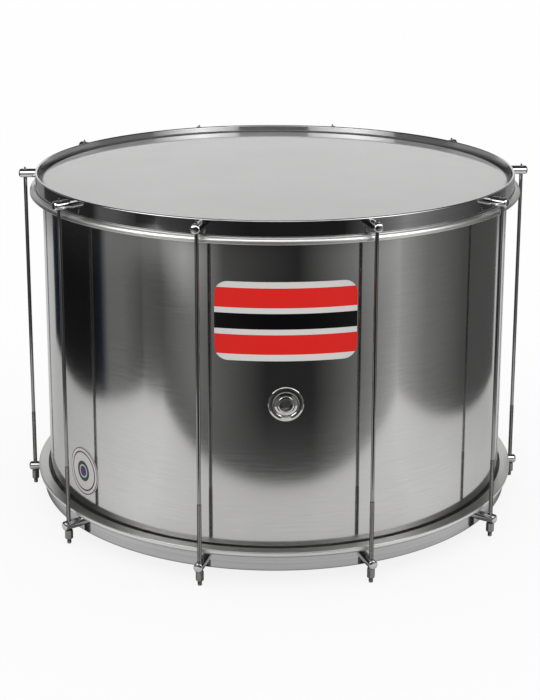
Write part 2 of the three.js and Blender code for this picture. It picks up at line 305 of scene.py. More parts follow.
def window_loop(rows, columns):
    """Row and column numbers round a window, in order, from its lowest corner."""
    up = [(r, columns[0]) for r in rows[:-1]]
    across = [(rows[-1], c) for c in columns[:-1]]
    down = [(r, columns[-1]) for r in rows[:0:-1]]
    home = [(rows[0], c) for c in columns[:0:-1]]
    return np.array(up + across + down + home)


def loop_turn(loop):
    """Plus or minus one for the way a loop of row and column numbers goes round."""
    after = np.roll(loop, -1, axis=0)
    return np.sign((loop[:, 0] * after[:, 1] - loop[:, 1] * after[:, 0]).sum())


def outside_window(quads, columns, rows, across):
    """The quads of a grid that don't lie inside a window."""
    r, c = quads[:, 0] // columns, quads[:, 0] % columns
    low, high = min(rows), max(rows)
    left, right = min(across), max(across)
    inside = (r >= low) & (r < high) & (c >= left) & (c < right)
    return quads[~inside]


def strip_quads(loops, turn):
    """Quads between neighbouring loops of point numbers, turned to match the grid."""
    a, b = loops[:-1], loops[1:]
    quads = np.stack([a, np.roll(a, -1, axis=1), np.roll(b, -1, axis=1), b], -1).reshape(-1, 4)
    return quads[:, ::-1] if turn > 0 else quads


# %% [markdown]
# ## Finishes
# A finish is a shader with its plain values on the sockets and, where the real surface has them,
# fine lines, clouds or smudges from noise. Image textures would carry a photo's light with them.
# Noise on object coordinates stays fixed to the piece from every side.

# %% Node helpers
MIX_COLOUR_INPUTS = (0, 6, 7)
MIX_COLOUR_OUTPUT = 2


def new_finish(name, colour, metallic, roughness):
    """A material with a principled shader, and its node tree."""
    material = bpy.data.materials.new(name)
    material.use_nodes = True
    material.diffuse_color = (*colour, 1)
    shader = material.node_tree.nodes["Principled BSDF"]
    shader.inputs["Base Color"].default_value = (*colour, 1)
    shader.inputs["Metallic"].default_value = metallic
    shader.inputs["Roughness"].default_value = roughness
    return material, material.node_tree, shader


def add_node(tree, kind, **inputs):
    """A node of a kind with its input values set by name."""
    node = tree.nodes.new(kind)
    for key, value in inputs.items():
        node.inputs[key.replace("_", " ")].default_value = value
    return node


def feed(tree, socket, value):
    """Another node's output goes into a socket as a link, a plain value as it is."""
    if isinstance(value, bpy.types.NodeSocket):
        tree.links.new(value, socket)
    else:
        socket.default_value = (*value, 1) if socket.type == "RGBA" else value


def number_node(tree, operation, *values):
    """A sum, difference, product or maximum of two numbers."""
    node = tree.nodes.new("ShaderNodeMath")
    node.operation = operation
    for socket, value in zip(node.inputs, values):
        feed(tree, socket, value)
    return node.outputs["Value"]


def vector_node(tree, operation, *values):
    """A product, direction or length of places. A length comes out as a number."""
    node = tree.nodes.new("ShaderNodeVectorMath")
    node.operation = operation
    for socket, value in zip(node.inputs, values):
        feed(tree, socket, value)
    return node.outputs["Value" if operation == "LENGTH" else "Vector"]


def object_place(tree):
    """The object's own coordinates."""
    return tree.nodes.new("ShaderNodeTexCoord").outputs["Object"]


def map_place(tree):
    """The coordinates of the map round a piece."""
    source = tree.nodes.new("ShaderNodeUVMap")
    source.uv_map = "around"
    return source.outputs["UV"]


def one_axis(tree, place, axis):
    """One coordinate of a place."""
    split = tree.nodes.new("ShaderNodeSeparateXYZ")
    tree.links.new(place, split.inputs["Vector"])
    return split.outputs[axis]


def object_noise(tree, scale, detail=2.0, roughness=0.5, around=False):
    """Noise on coordinates stretched by scale, from the object or from the map round it."""
    mapping = add_node(tree, "ShaderNodeMapping", Scale=scale)
    noise = add_node(tree, "ShaderNodeTexNoise", Scale=1.0, Detail=detail, Roughness=roughness)
    feed(tree, mapping.inputs["Vector"], map_place(tree) if around else object_place(tree))
    feed(tree, noise.inputs["Vector"], mapping.outputs["Vector"])
    return noise.outputs["Fac"]


def spread(tree, value, low, high, from_low=0.3, from_high=0.7):
    """A value stretched from one range to another."""
    node = add_node(tree, "ShaderNodeMapRange")
    for key, number in zip(("From Min", "From Max", "To Min", "To Max"), (from_low, from_high, low, high)):
        node.inputs[key].default_value = number
    tree.links.new(value, node.inputs["Value"])
    return node.outputs["Result"]


def blend(tree, share, low, high, kind="MIX"):
    """One colour that turns into another as a share goes from 0 to 1, or their product."""
    mix = tree.nodes.new("ShaderNodeMix")
    mix.data_type = "RGBA"
    mix.blend_type = kind
    for number, value in zip(MIX_COLOUR_INPUTS, (share, low, high)):
        feed(tree, mix.inputs[number], value)
    return mix.outputs[MIX_COLOUR_OUTPUT]


def tone_ramp(tree, value, stops, steps="LINEAR"):
    """Tones along a value from 0 to 1: a number is a grey, three numbers a colour."""
    ramp = tree.nodes.new("ShaderNodeValToRGB")
    ramp.color_ramp.interpolation = steps
    elements = ramp.color_ramp.elements
    for element, (share, tone) in zip(elements, (stops[0], stops[-1])):
        element.position = share
        element.color = (*np.broadcast_to(tone, 3), 1)
    for share, tone in stops[1:-1]:
        elements.new(share).color = (*np.broadcast_to(tone, 3), 1)
    tree.links.new(value, ramp.inputs["Fac"])
    return ramp.outputs["Color"]


def tint(tree, shader, value, low, high):
    """Base colour that runs between two colours as a value runs from 0 to 1."""
    tree.links.new(blend(tree, value, low, high), shader.inputs["Base Color"])


def relief(tree, shader, value, distance):
    """Bump of a real depth in metres."""
    bump = add_node(tree, "ShaderNodeBump", Strength=1.0, Distance=distance)
    tree.links.new(value, bump.inputs["Height"])
    tree.links.new(bump.outputs["Normal"], shader.inputs["Normal"])


def dress(piece, material, body, slot, *nodes):
    """Gives a piece its finish and its body, and hides the nodes that it stands for. Its slot is not used.
    """
    piece.data.materials.append(material)
    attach(piece, body)
    if nodes:
        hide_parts(*nodes)
    print(piece.name, "has", len(piece.data.polygons), "faces")


# %% [markdown]
# ### Rolled shell metal
# The shell is thin rolled sheet with a bright finish. Rolling leaves hairlines that run round
# the drum, so reflections stay crisp sideways and smear up and down. Bump alone would need very
# fine noise for that. An anisotropic shader turned by a quarter gives the smear directly, and
# slow waves in the sheet bend the reflections as real sheet does. The inside is painted paler,
# as painted light that stands in for the light inside the drum. It is told apart by its distance
# from the axis, so one material serves both walls.

# %% Shell metal
SHELL_COLOUR = (0.54, 0.537, 0.53)
SHELL_DIM = (0.515, 0.512, 0.505)
SHELL_BRIGHT = (0.565, 0.562, 0.555)
# painted light: the pale inside wall stands in for the light inside the drum
SHELL_INSIDE_PAINTED_LIGHT = (0.9, 0.9, 0.89)
SHELL_WALL = 1.5 * MM


def recolour(tree, shader, factor, colour):
    """Another base colour where the factor is 0, and the finish's own where it is 1."""
    tint(tree, shader, factor, colour, shader.inputs["Base Color"].links[0].from_socket)


def painted_light_inside(tree, shader, colour, radius, wall):
    """Painted light: a paler colour on the inside of a tube, standing in for light inside, told apart by
    distance from the middle axis.
    """
    flat = vector_node(tree, "MULTIPLY", object_place(tree), (1, 1, 0))
    away = vector_node(tree, "LENGTH", flat)
    recolour(tree, shader, spread(tree, away, 0, 1, radius - wall, radius - wall / 2), colour)


def shell_metal():
    """Bright sheet with short hairlines round the drum, slow waves and faint smudges."""
    material, tree, shader = new_finish("rolled_shell_metal", SHELL_COLOUR, 1.0, 0.11)
    shader.inputs["Anisotropic"].default_value = 0.75
    shader.inputs["Anisotropic Rotation"].default_value = 0.25
    hairlines = object_noise(tree, (30, 30, 900), detail=2.0, roughness=0.6)
    tree.links.new(spread(tree, hairlines, 0.09, 0.12), shader.inputs["Roughness"])
    smudges = object_noise(tree, (14, 14, 9), detail=3.0)
    both = spread(tree, number_node(tree, "ADD", hairlines, smudges), 0, 1, 0.7, 1.3)
    tint(tree, shader, both, SHELL_DIM, SHELL_BRIGHT)
    # painted light: a paler inner wall, standing in for the light inside the drum
    painted_light_inside(tree, shader, SHELL_INSIDE_PAINTED_LIGHT, SHELL_RADIUS, SHELL_WALL)
    waves = object_noise(tree, (9, 9, 4), detail=1.0)
    relief(tree, shader, waves, 0.12 * MM)
    return material


shell_finish = shell_metal()

# %% [markdown]
# ### Chrome, steel, satin aluminium and nickel
# The counter hoops and lugs are chromed, the rods are polished steel, the flesh hoops are extruded
# aluminium whose lines run along the ring, and the nuts are dull nickel. One function makes them
# all: what differs is how rough the metal is, how its lines run and how deep they are. A rod's
# thread is darker than its shank and is told apart by height.

# %% Other metals


def line_metal(name, low, high, roughness, lines, depth, around=False):
    """Metal whose colour and roughness follow fine lines. lines is the noise's stretch."""
    material, tree, shader = new_finish(name, high, 1.0, roughness)
    noise = object_noise(tree, lines, detail=3.0, roughness=0.6, around=around)
    tint(tree, shader, spread(tree, noise, 0, 1), low, high)
    tree.links.new(spread(tree, noise, roughness * 1.3, roughness * 0.75), shader.inputs["Roughness"])
    relief(tree, shader, noise, depth)
    return material


chrome = line_metal(
    "hoop_chrome", (0.45, 0.45, 0.452), (0.52, 0.52, 0.522), 0.07, (5, 5, 500), 0.004 * MM)
satin = line_metal(
    "satin_aluminium", (0.70, 0.70, 0.69), (0.84, 0.84, 0.83), 0.38, (14, 4000, 1), 0.02 * MM, True)
lug_finish = line_metal(
    "lug_chrome_finish", (0.54, 0.54, 0.545), (0.62, 0.62, 0.625), 0.035, (300, 300, 300), 0.0005 * MM)
rod_finish = line_metal(
    "rod_steel_finish", (0.24, 0.24, 0.24), (0.31, 0.31, 0.31), 0.12, (900, 900, 60), 0.004 * MM)
nut_finish = line_metal(
    "dull_nickel", (0.20, 0.197, 0.19), (0.33, 0.326, 0.315), 0.34, (700, 700, 700), 0.01 * MM)
eyelet_finish = line_metal(
    "eyelet_metal_finish", (0.54, 0.535, 0.525), (0.62, 0.615, 0.605), 0.03, (400, 400, 400), 0.0005 * MM)

# %% The darker thread and the satin's lines
THREAD_LENGTH = 94.5 * MM
THREAD_FADE = 0.5 * MM


def dark_thread(material, colour, top):
    """Another colour on a rod up to the top of its thread, told apart by height."""
    tree = material.node_tree
    height = one_axis(tree, object_place(tree), "Z")
    above = spread(tree, height, 0, 1, top - THREAD_FADE, top + THREAD_FADE)
    recolour(tree, tree.nodes["Principled BSDF"], above, colour)


dark_thread(rod_finish, (0.17, 0.167, 0.162), rod_low.z + THREAD_LENGTH)
satin_shader = satin.node_tree.nodes["Principled BSDF"]
satin_shader.inputs["Anisotropic"].default_value = 0.4
satin_shader.inputs["Anisotropic Rotation"].default_value = 0.25

# %% [markdown]
# ### Head film
# The head is a thick milky polyester film, glossy enough to mirror the hoop round it. Real film
# lets a little light through, which could be made with transmission and light paths through the
# shell. Light that only scatters a few millimetres inside the film, under a glossy surface with
# faint clouds, looks the same over a dark drum.

# %% Head film


def head_film():
    """Milky film: pale grey with slow clouds, under a smooth glossy surface."""
    material, tree, shader = new_finish("milky_film", (0.36, 0.36, 0.355), 0.0, 0.05)
    clouds = object_noise(tree, (5, 5, 5), detail=3.0)
    tint(tree, shader, spread(tree, clouds, 0, 1), (0.34, 0.34, 0.335), (0.38, 0.38, 0.375))
    shader.inputs["Subsurface Weight"].default_value = 1.0
    shader.inputs["Subsurface Radius"].default_value = (1, 1, 1)
    shader.inputs["Subsurface Scale"].default_value = 4 * MM
    grain = object_noise(tree, (700, 700, 700))
    relief(tree, shader, grain, 0.004 * MM)
    return material


film_finish = head_film()

# %% [markdown]
# ### Printed labels
# A printed label is glossy vinyl. The badge carries plain stripes and the seal plain rings. They
# could be painted from a map; heights and distances of the object's own coordinates place them
# just as exactly, and a ramp with hard steps keeps each edge crisp.

# %% Label prints
PAPER = (0.63, 0.625, 0.61)
RED = (0.70, 0.012, 0.008)
INK = (0.002, 0.002, 0.003)
PALE = (0.55, 0.53, 0.53)
GREEN = (0.03, 0.075, 0.04)
VIOLET = (0.07, 0.045, 0.16)
PLUM = (0.05, 0.025, 0.05)
STRIPES = [(0, PAPER), (0.08, RED), (0.33, PAPER), (0.40, INK), (0.60, PAPER), (0.67, RED), (0.92, PAPER)]
RINGS = [
    (0, VIOLET), (0.22, PALE), (0.27, GREEN), (0.42, PALE), (0.76, PLUM), (0.82, PALE), (0.93, PLUM),
    (0.97, PALE),
]


def striped_print(low, high):
    """Stripes by height: pale, red, pale, black, pale, red, pale."""
    material, tree, shader = new_finish("striped_print", PAPER, 0.0, 0.3)
    shader.inputs["Specular IOR Level"].default_value = 0.2
    shader.inputs["Coat Weight"].default_value = 0.3
    shader.inputs["Coat Roughness"].default_value = 0.08
    share = spread(tree, one_axis(tree, object_place(tree), "Z"), 0, 1, low, high)
    stripes = tone_ramp(tree, share, STRIPES, "CONSTANT")
    tree.links.new(stripes, shader.inputs["Base Color"])
    return material


def ringed_print(centre, radius):
    """Rings by distance from the centre: violet, pale, green, pale and two dark lines."""
    material, tree, shader = new_finish("ringed_print", PALE, 0.0, 0.5)
    shader.inputs["Specular IOR Level"].default_value = 0.1
    mapping = add_node(tree, "ShaderNodeMapping", Location=tuple(-c for c in centre))
    tree.links.new(object_place(tree), mapping.inputs["Vector"])
    away = vector_node(tree, "LENGTH", mapping.outputs["Vector"])
    rings = tone_ramp(tree, spread(tree, away, 0, 1, 0, radius), RINGS, "CONSTANT")
    tree.links.new(rings, shader.inputs["Base Color"])
    return material


# %% [markdown]
# ## Shell
# The shell is one wide tube of thin sheet with its two edges rolled inwards. It is turned from
# one outline, outer wall up and inner wall down, and the vent's hole joins the two walls.

# %% Turn the shell
EDGE_ROLL = 3 * MM
EDGE_LIP = 3.5 * MM
SHELL_COLUMNS = 360
vent_low, vent_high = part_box("vent_eyelet")
VENT_LEVEL = (vent_low.z + vent_high.z) / 2
VENT_HOLE = 7.1 * MM
VENT_WINDOW = 11 * MM
HOLE_RINGS = 6
ROWS_BELOW = 12
WINDOW_ROWS = 9
ROWS_ABOVE = 14


def roll_arc(end, radius, steps=8):
    """A quarter circle from pointing outwards to pointing along the end."""
    angle = np.linspace(0, np.pi / 2, steps + 1)
    out = SHELL_RADIUS - EDGE_ROLL + radius * np.cos(angle)
    along = SHELL_END - EDGE_ROLL + radius * np.sin(angle)
    return at_end(np.stack([out, along], -1), end)


def wall_heights():
    """Heights of the shell's rings, with fine steps beside the vent's window, and where it starts."""
    low = MIDDLE - SHELL_END + EDGE_ROLL
    high = MIDDLE + SHELL_END - EDGE_ROLL
    below = np.linspace(low, VENT_LEVEL - VENT_WINDOW, ROWS_BELOW)
    beside = np.linspace(VENT_LEVEL - VENT_WINDOW, VENT_LEVEL + VENT_WINDOW, WINDOW_ROWS)
    above = np.linspace(VENT_LEVEL + VENT_WINDOW, high, ROWS_ABOVE)
    return np.concatenate([below, beside[1:], above[1:]]), ROWS_BELOW - 1


def shell_piece():
    """The tube's closed outline goes round; windows in both walls are joined by the hole."""
    heights, first = wall_heights()
    inner_roll = EDGE_ROLL - SHELL_WALL
    lip = SHELL_RADIUS - EDGE_ROLL - EDGE_LIP
    outer = np.stack([np.full(len(heights), SHELL_RADIUS), heights], -1)
    inner = np.stack([np.full(len(heights), SHELL_RADIUS - SHELL_WALL), heights[::-1]], -1)
    top_lip = at_end(np.array([[lip, SHELL_END], [lip, SHELL_END - SHELL_WALL]]), TOP)
    low_lip = at_end(np.array([[lip, SHELL_END - SHELL_WALL], [lip, SHELL_END]]), BOTTOM)
    profile = np.concatenate([
        outer, roll_arc(TOP, EDGE_ROLL)[1:], top_lip, roll_arc(TOP, inner_roll)[:0:-1],
        inner, roll_arc(BOTTOM, inner_roll)[1:], low_lip, roll_arc(BOTTOM, EDGE_ROLL)[:0:-1],
    ])
    grid = turned_grid(profile, SHELL_COLUMNS, start=-np.pi)
    points = grid.reshape(-1, 3)
    quads = row_quads(len(profile), SHELL_COLUMNS, True)
    window_rows = np.arange(first, first + WINDOW_ROWS)
    half = int(np.ceil(VENT_WINDOW / SHELL_RADIUS / FULL_TURN * SHELL_COLUMNS))
    across = np.arange(SHELL_COLUMNS // 2 - half, SHELL_COLUMNS // 2 + half + 1)
    inner_start = int(np.flatnonzero(profile[:, 0] == SHELL_RADIUS - SHELL_WALL)[0])
    inner_rows = inner_start + len(heights) - 1 - window_rows
    quads = outside_window(quads, SHELL_COLUMNS, window_rows, across)
    quads = outside_window(quads, SHELL_COLUMNS, inner_rows, across)
    loops = []
    for rows, radius in ((window_rows, SHELL_RADIUS), (inner_rows, SHELL_RADIUS - SHELL_WALL)):
        cells = window_loop(rows, across)
        numbers = cells[:, 0] * SHELL_COLUMNS + cells[:, 1]
        edge = points[numbers]
        angle = np.arctan2(edge[:, 0], -edge[:, 1])
        rise = edge[:, 2] - VENT_LEVEL
        towards = np.arctan2(rise, angle * SHELL_RADIUS)
        share = np.linspace(0, 1, HOLE_RINGS + 1)[1:, None]
        hole_angle = np.arcsin(VENT_HOLE * np.cos(towards) / SHELL_RADIUS)
        ring_angle = angle + share * (hole_angle - angle)
        ring_rise = rise + share * (VENT_HOLE * np.sin(towards) - rise)
        rings = np.stack([
            radius * np.sin(ring_angle), -radius * np.cos(ring_angle), VENT_LEVEL + ring_rise,
        ], -1)
        start = len(points)
        points = np.concatenate([points, rings.reshape(-1, 3)])
        ring_numbers = start + np.arange(rings.shape[0] * rings.shape[1]).reshape(rings.shape[:2])
        loops.append(np.concatenate([numbers[None], ring_numbers]))
    turn = loop_turn(window_loop(window_rows, across))
    strip = strip_quads(np.concatenate([loops[0], loops[1][::-1]]), -turn)
    return make_mesh("drum_shell", points, [quads, strip])


dress(shell_piece(), shell_finish, "shell", "shell_metal", "shell")

# %% [markdown]
# ## Heads
# Each head is a flat film that rolls over the bearing edge, runs down outside the shell and ends
# in a bead inside the flesh hoop. A disc would do for the picture, but the skirt shows from the
# side, so the whole section is turned.

# %% Turn the heads
FILM = 0.6 * MM
FILM_SIDE_GAP = 0.4 * MM
SEAT_GAP = 0.3 * MM
FLESH_GAP = 3 * MM
FLESH_WALL = 1.2 * MM
HEAD_COLUMNS = 240
HEAD_FLAT_RINGS = 14
HEAD_FLAT_SHARES = (0.02, 0.985)
HEAD_ROLL_STEPS = 9
BEAD_INNER = SHELL_RADIUS + FLESH_GAP + FLESH_WALL + SEAT_GAP
BEAD_OUTER = FLESH_OUTER - FLESH_WALL - SEAT_GAP
BEAD_DROP = 2.6 * MM
BEAD_ROUND = 0.8 * MM
COLLAR_ROUND = 0.3 * MM


def head_roll(thickness):
    """A quarter ellipse over the bearing edge, from the flat film down to the skirt."""
    angle = np.linspace(np.pi / 2, 0, HEAD_ROLL_STEPS + 1)
    across = EDGE_ROLL + FILM_SIDE_GAP + thickness
    along = EDGE_ROLL + SEAT_GAP + thickness
    out = SHELL_RADIUS - EDGE_ROLL + across * np.cos(angle)
    rise = SHELL_END - EDGE_ROLL + along * np.sin(angle)
    return np.stack([out, rise], -1)


def head_profile():
    """From the centre of the outer face over the edge to the bead, and back inside."""
    flat = np.linspace(*HEAD_FLAT_SHARES, HEAD_FLAT_RINGS) * (SHELL_RADIUS - EDGE_ROLL)
    upper = np.stack([flat, np.full_like(flat, HEAD_PLANE)], -1)
    lower = np.stack([flat[::-1], np.full_like(flat, HEAD_PLANE - FILM)], -1)
    collar = BEAD_INNER + FILM
    bead_low = FLESH_START + FLESH_WALL + SEAT_GAP
    bead = rounded([
        [collar, HOOP_START + FILM], [collar, FLESH_END - BEAD_DROP], [BEAD_OUTER, FLESH_END - BEAD_DROP],
        [BEAD_OUTER, bead_low], [BEAD_INNER, bead_low], [BEAD_INNER, HOOP_START],
    ], [0, COLLAR_ROUND, BEAD_ROUND, BEAD_ROUND, BEAD_ROUND, 0], steps=4)
    skirt_out = SHELL_RADIUS + FILM_SIDE_GAP + FILM
    step_up = [[skirt_out, HOOP_START + FILM]]
    step_in = [[SHELL_RADIUS + FILM_SIDE_GAP, HOOP_START]]
    return np.concatenate([upper, head_roll(FILM), step_up, bead, step_in, head_roll(0)[::-1], lower])


for end, side, body in ENDS:
    head = woven(f"{side}_head_film", turned_grid(at_end(head_profile(), end), HEAD_COLUMNS))
    dress(head, film_finish, body, "head_film", f"{side}_head")

# %% [markdown]
# ## Flesh hoops and counter hoops
# A flesh hoop is an extruded channel bent into a ring, with its closed side towards the drum's
# middle. A counter hoop is a flat band with a rounded rim. Both are plain sections carried round
# the drum, with each edge broken by a small radius.

# %% Turn the hoops
HOOP_COLUMNS = 360
HOOP_THICKNESS = 3 * MM
FLESH_CORNER = 1.2 * MM
FLESH_SHOULDER = 4.0 * MM
LIP_THICKNESS = 1.2 * MM
LIP_GAP = 0.4 * MM
EDGE_BREAK = 0.35 * MM
RIM_RADIUS = 1.45 * MM
HOOP_JOINT = np.radians(-134)


def flesh_profile():
    """The channel's section: its outer wall ends in a lip turned in to the counter hoop."""
    inside = SHELL_RADIUS + FLESH_GAP
    wall = FLESH_WALL
    lip_start = HOOP_OUTER + LIP_GAP
    corners = [
        [inside, FLESH_END], [inside + wall, FLESH_END], [inside + wall, FLESH_START + wall],
        [FLESH_OUTER - wall, FLESH_START + wall], [FLESH_OUTER - wall, FLESH_END - LIP_THICKNESS],
        [lip_start, FLESH_END - LIP_THICKNESS], [lip_start, FLESH_END],
        [FLESH_OUTER, FLESH_END], [FLESH_OUTER, FLESH_START], [inside, FLESH_START],
    ]
    small = EDGE_BREAK
    inner = FLESH_SHOULDER - wall
    rounds = [small, small, small, small, inner, small, small, FLESH_SHOULDER, FLESH_CORNER, small]
    return rounded(corners, rounds, steps=8)


def hoop_profile():
    """The band's section: square at the flesh hoop, fully rounded at the rim."""
    inside = HOOP_OUTER - HOOP_THICKNESS
    corners = [
        [inside, HOOP_START], [HOOP_OUTER, HOOP_START], [HOOP_OUTER, RIM_END], [inside, RIM_END],
    ]
    return rounded(corners, [EDGE_BREAK, EDGE_BREAK, RIM_RADIUS, RIM_RADIUS], steps=8)


for end, side, body in ENDS:
    flesh = turned_grid(at_end(flesh_profile(), end), HOOP_COLUMNS, HOOP_JOINT)
    flesh_piece = woven(f"{side}_flesh_ring", flesh, closed=True)
    dress(flesh_piece, satin, body, "flesh_hoop_aluminium", f"{side}_flesh_hoop")
    band = turned_grid(at_end(hoop_profile(), end), HOOP_COLUMNS, HOOP_JOINT)
    band_piece = woven(f"{side}_hoop_band", band, closed=True)
    dress(band_piece, chrome, body, "counter_hoop_chrome", f"{side}_counter_hoop")

# %% [markdown]
# ## Lugs
# A lug is a round bar with a domed end, and the rod goes through it from top to bottom. The upper
# one is counterbored for the rod's head. The bar is turned along its own axis, and rings of quads
# join the round of the bar to the hole.

# %% Sizes of a lug
LUG_RADIUS = 5.3 * MM
LUG_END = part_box("top_lug_03")[1].x
LUG_TO_RIM = 7.2 * MM
LUG_LEVEL = RIM_END - LUG_TO_RIM
SPIGOT_RADIUS = 2.6 * MM
DOME_LENGTH = 2.9 * MM
LUG_COLUMNS = 48
COUNTERBORE_RADIUS = 3.2 * MM
COUNTERBORE_FLOOR = 3.0 * MM
SHANK_RADIUS = 2.2 * MM
THREAD_RADIUS = 2.5 * MM
HOLE_STEPS = 10
LUG_WINDOW_SHARE = 1.22
LUG_WINDOW_HALF = 6
LUG_RINGS = 5
DOME_STEPS = 12
DOME_POWER = 0.7
SHOULDER_BREAK = 0.5 * MM


def lug_profile():
    """Radius by distance out: the spigot, a softly broken shoulder, the bar and its dome."""
    start = HOOP_OUTER - HOOP_THICKNESS + SEAT_GAP
    shoulder = HOOP_OUTER * FACET + SEAT_GAP
    dome_start = LUG_END - DOME_LENGTH
    hole = np.linspace(-1, 1, HOLE_STEPS + 1) * COUNTERBORE_RADIUS * LUG_WINDOW_SHARE + ROD_CIRCLE
    angle = np.linspace(0, np.pi / 2, DOME_STEPS + 1)[:-1]
    dome_radius = LUG_RADIUS * np.cos(angle) ** DOME_POWER
    dome = np.stack([dome_radius, dome_start + DOME_LENGTH * np.sin(angle)], -1)
    bar = np.stack([np.full_like(hole, LUG_RADIUS), hole], -1)
    broken = SHOULDER_BREAK
    root = [
        [SPIGOT_RADIUS * 0.5, start], [SPIGOT_RADIUS, start], [SPIGOT_RADIUS, shoulder],
        [LUG_RADIUS - broken, shoulder], [LUG_RADIUS - broken * 0.3, shoulder + broken * 0.3],
        [LUG_RADIUS, shoulder + broken], [LUG_RADIUS, shoulder + 3 * broken],
    ]
    return np.concatenate([root, bar, dome]), len(root)


# %% Pierce a lug


def lug_arrays(upper_hole, floor, lower_hole):
    """Points and faces of a lug that points along -Y: the turned bar without two windows, and
    loops from the upper window over the hole's edges and walls to the lower window."""
    profile, first = lug_profile()
    angle = even_angles(LUG_COLUMNS) - np.pi
    r, out = profile[:, :1], profile[:, 1:]
    grid = np.stack([r * np.cos(angle), -out + 0 * angle, r * np.sin(angle)], -1)
    rows, columns = grid.shape[:2]
    points = grid.reshape(-1, 3)
    quads = row_quads(rows, columns, False)
    window_rows = np.arange(first, first + HOLE_STEPS + 1)
    half = LUG_WINDOW_HALF
    above = 3 * LUG_COLUMNS // 4
    below = LUG_COLUMNS // 4
    upper_across = np.arange(above + half, above - half - 1, -1)
    lower_across = np.arange(below - half, below + half + 1)
    for across in (upper_across, lower_across):
        quads = outside_window(quads, columns, window_rows, across)
    loops = []
    rings = []
    for across, hole, sign in ((upper_across, upper_hole, 1), (lower_across, lower_hole, -1)):
        cells = window_loop(window_rows, across)
        numbers = cells[:, 0] * columns + cells[:, 1]
        edge = points[numbers]
        arc = np.arcsin(np.clip(edge[:, 0] / LUG_RADIUS, -1, 1))
        away = -edge[:, 1] - ROD_CIRCLE
        towards = np.arctan2(away, edge[:, 0])
        hole_arc = np.arcsin(hole * np.cos(towards) / LUG_RADIUS)
        share = np.linspace(0, 1, LUG_RINGS + 1)[1:, None]
        ring_arc = arc + share * (hole_arc - arc)
        ring_away = away + share * (hole * np.sin(towards) - away)
        ring = np.stack([
            LUG_RADIUS * np.sin(ring_arc), -(ROD_CIRCLE + ring_away),
            sign * LUG_RADIUS * np.cos(ring_arc),
        ], -1)
        loops.append(numbers)
        rings.append((ring, towards))
    towards = rings[0][1]
    ledge = []
    if upper_hole > lower_hole:
        for radius in (upper_hole, lower_hole):
            away = -(ROD_CIRCLE + radius * np.sin(towards))
            ledge.append(np.stack([radius * np.cos(towards), away, 0 * towards + floor], -1)[None])
    all_rings = np.concatenate([rings[0][0], *ledge, rings[1][0][::-1]])
    ring_count, ring_size = all_rings.shape[:2]
    numbers = len(points) + np.arange(ring_count * ring_size).reshape(ring_count, ring_size)
    points = np.concatenate([points, all_rings.reshape(-1, 3)])
    turn = loop_turn(window_loop(window_rows, upper_across))
    strip = strip_quads(np.concatenate([loops[0][None], numbers, loops[1][None]]), -turn)
    fans = np.concatenate(pole_fans(rows, columns, len(points)))
    points = np.concatenate([points, [grid[0].mean(axis=0), [0, -LUG_END, 0]]])
    return points, [np.concatenate([quads, strip]), fans]


def rod_angle(place):
    """The rods stand evenly round the drum, with the front midway between two of them."""
    return (place + 0.5) / ROD_COUNT * FULL_TURN


top_lug = lug_arrays(COUNTERBORE_RADIUS, COUNTERBORE_FLOOR, SHANK_RADIUS + SEAT_GAP)
bottom_lug = lug_arrays(THREAD_RADIUS + SEAT_GAP, 0, THREAD_RADIUS + SEAT_GAP)
for place in range(ROD_COUNT):
    for (points, faces), (end, side, body) in zip((top_lug, bottom_lug), ENDS):
        spot = turned_to(points, rod_angle(place)) + [0, 0, MIDDLE + end * LUG_LEVEL]
        name = f"{side}_lug_bar_{place + 1:02d}"
        node = f"{side}_lug_{place + 1:02d}"
        dress(make_mesh(name, spot, faces), lug_finish, body, "lug_chrome", node)

# %% [markdown]
# ## Rods and nuts
# A tension rod is plain polished wire with a rolled thread on its lower quarter. A thread could
# be drawn with bump, but its teeth show in the outline up close. Here the radius of each grid
# point follows a wave that climbs one pitch for each turn, so the ridge is a true helix.

# %% Rods
THREAD_PITCH = 0.8 * MM
THREAD_DEPTH = 0.42 * MM
THREAD_STEPS = 6
ROD_COLUMNS = 14
ROD_HEAD_RADIUS = 2.8 * MM
ROD_HEAD_HEIGHT = 1.7 * MM
PIP_RADIUS = 1.1 * MM
CHAMFER = 0.6 * MM
ROD_BREAK = 0.3 * MM


def rod_grid():
    """Rows up the rod. Thread radius = crest less depth times a triangle wave of
    height / pitch less angle / turn, and less again near both ends of the thread."""
    tip = rod_low.z
    floor = MIDDLE + LUG_LEVEL + COUNTERBORE_FLOOR + SEAT_GAP
    head_end = floor + ROD_HEAD_HEIGHT
    count = int(THREAD_LENGTH / THREAD_PITCH * THREAD_STEPS)
    thread_z = tip + np.linspace(0, THREAD_LENGTH, count)
    small = ROD_BREAK
    plain = np.array([
        [SHANK_RADIUS, tip + THREAD_LENGTH + small], [SHANK_RADIUS, floor - small],
        [SHANK_RADIUS, floor], [ROD_HEAD_RADIUS - small, floor], [ROD_HEAD_RADIUS, floor + small],
        [ROD_HEAD_RADIUS, head_end - small], [ROD_HEAD_RADIUS - small, head_end],
        [PIP_RADIUS + small, head_end], [PIP_RADIUS, head_end + small],
        [PIP_RADIUS, rod_high.z - 2 * small], [PIP_RADIUS * 0.8, rod_high.z - small],
        [PIP_RADIUS * 0.4, rod_high.z],
    ])
    angle = even_angles(ROD_COLUMNS)
    phase = thread_z[:, None] / THREAD_PITCH - angle / FULL_TURN
    wave = np.abs(2 * (phase % 1) - 1)
    crest = np.minimum(THREAD_RADIUS, THREAD_RADIUS - CHAMFER + (thread_z - tip))[:, None]
    fade = np.clip((tip + THREAD_LENGTH - thread_z) / (2 * THREAD_PITCH), 0, 1)[:, None]
    thread_r = crest - THREAD_DEPTH * wave * fade - (THREAD_RADIUS - SHANK_RADIUS) * (1 - fade)
    r = np.concatenate([thread_r, plain[:, :1] + 0 * angle])
    z = np.concatenate([thread_z, plain[:, 1]])[:, None] + 0 * angle
    return np.stack([r * np.sin(angle), -ROD_CIRCLE - r * np.cos(angle), z], -1)


